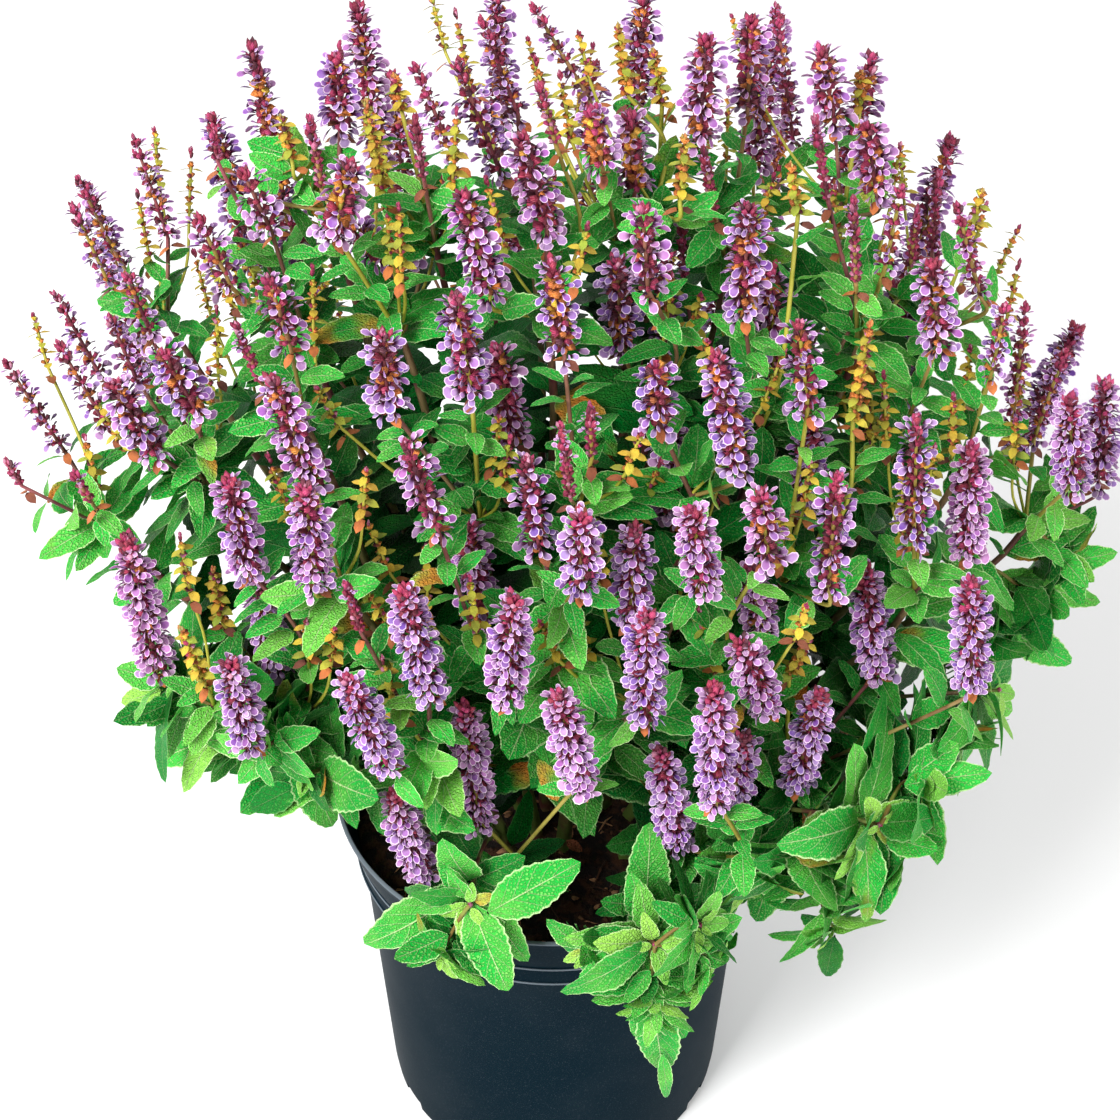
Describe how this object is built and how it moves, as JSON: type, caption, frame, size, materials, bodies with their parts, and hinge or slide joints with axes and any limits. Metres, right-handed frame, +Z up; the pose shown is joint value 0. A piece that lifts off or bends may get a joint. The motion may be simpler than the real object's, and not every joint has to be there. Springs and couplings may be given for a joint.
{
  "type": "potted perennial salvia",
  "caption": "Bushy perennial salvia in full flower in a round nursery pot: square leafy stems with opposite notched leaves, ending in a dome of dense flower spikes.",
  "frame": {"origin": "centre of the pot's foot, on the surface it stands on", "axes": "+Z up, front is -Y (the side with the leafy shoots over the rim), +X to the right seen from the front"},
  "size_m": [0.484, 0.3783, 0.5948],
  "materials": {
    "pot_plastic": "satin",
    "soil": "matte",
    "leafy_stem": "satin",
    "flower_head": "matte"
  },
  "bodies": {
    "root": {"head_01_1": "flower_head", "head_01_2": "flower_head", "head_01_3": "flower_head", "head_02_1": "flower_head", "head_02_2": "flower_head", "head_02_3": "flower_head", "head_03_1": "flower_head", "head_03_2": "flower_head", "head_03_3": "flower_head", "head_04_1": "flower_head", "head_04_2": "flower_head", "head_04_3": "flower_head", "head_05_1": "flower_head", "head_05_2": "flower_head", "head_05_3": "flower_head", "head_06_1": "flower_head", "head_06_2": "flower_head", "head_06_3": "flower_head", "head_07_1": "flower_head", "head_07_2": "flower_head", "head_07_3": "flower_head", "head_07_4": "flower_head", "head_08_1": "flower_head", "head_08_2": "flower_head", "head_08_3": "flower_head", "head_08_4": "flower_head", "head_09_1": "flower_head", "head_09_2": "flower_head", "head_09_3": "flower_head", "head_10_1": "flower_head", "head_10_2": "flower_head", "head_10_3": "flower_head", "head_10_4": "flower_head", "head_11_1": "flower_head", "head_11_2": "flower_head", "head_12_1": "flower_head", "head_12_2": "flower_head", "head_12_3": "flower_head", "head_13_1": "flower_head", "head_13_2": "flower_head", "head_13_3": "flower_head", "head_14_1": "flower_head", "head_14_2": "flower_head", "head_14_3": "flower_head", "pot": "pot_plastic", "soil": "soil", "stem_01": "leafy_stem", "stem_02": "leafy_stem", "stem_03": "leafy_stem", "stem_04": "leafy_stem", "stem_05": "leafy_stem", "stem_06": "leafy_stem", "stem_07": "leafy_stem", "stem_08": "leafy_stem", "stem_09": "leafy_stem", "stem_10": "leafy_stem", "stem_11": "leafy_stem", "stem_12": "leafy_stem", "stem_13": "leafy_stem", "stem_14": "leafy_stem"}
  },
  "joints": []
}
